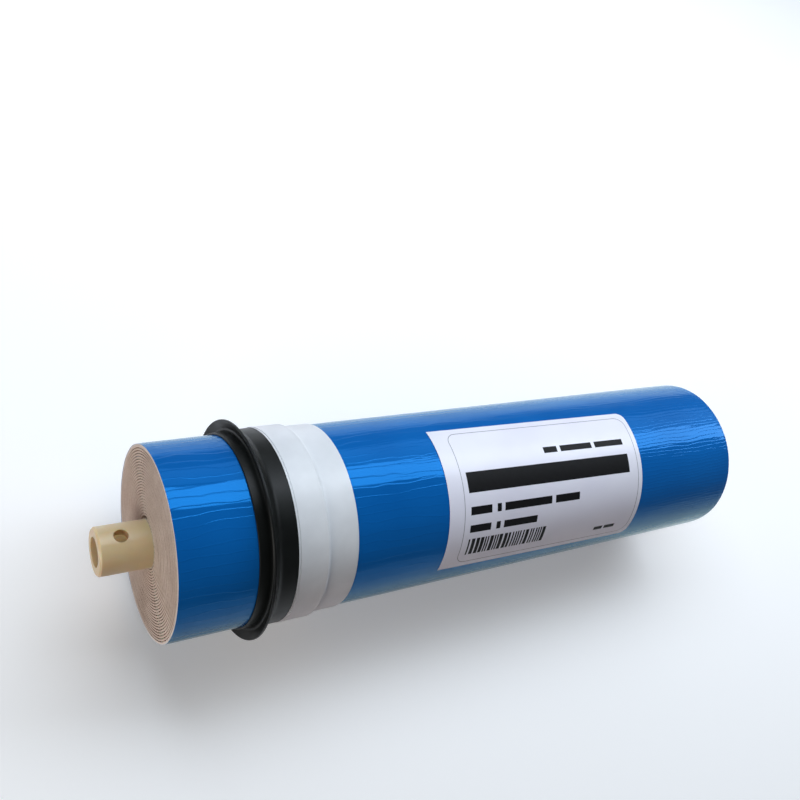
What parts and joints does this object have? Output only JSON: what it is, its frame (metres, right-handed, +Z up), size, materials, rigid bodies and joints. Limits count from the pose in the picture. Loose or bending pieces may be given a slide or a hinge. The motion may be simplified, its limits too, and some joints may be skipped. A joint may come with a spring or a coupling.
{
  "type": "ro membrane element",
  "caption": "Spiral-wound reverse-osmosis membrane roll in blue tape, with a cream permeate tube, a black lip seal bound by white tape and a plain label.",
  "frame": {"origin": "centre of the roll's feed-end face, on the axis of the permeate tube", "axes": "+X along the permeate tube towards the product end, +Z up as the element lies on its side, label on top and a little to -Y"},
  "size_m": [0.298, 0.08, 0.08],
  "materials": {
    "abs_cream": "moulded",
    "carrier_knit": "knitted",
    "o_ring_rubber": "moulded",
    "membrane": "cast film on fleece, trimmed edges",
    "blue_tape": "glossy film",
    "seal_rubber": "moulded",
    "white_tape": "satin film",
    "label_film": "printed film"
  },
  "bodies": {
    "root": {"permeate_tube": "abs_cream", "permeate_carrier": "carrier_knit", "inner_o_ring": "o_ring_rubber", "outer_o_ring": "o_ring_rubber", "membrane_leaf": "membrane", "outer_wrap": "blue_tape", "brine_seal": "seal_rubber", "seal_tape": "white_tape", "label": "label_film"}
  },
  "joints": []
}
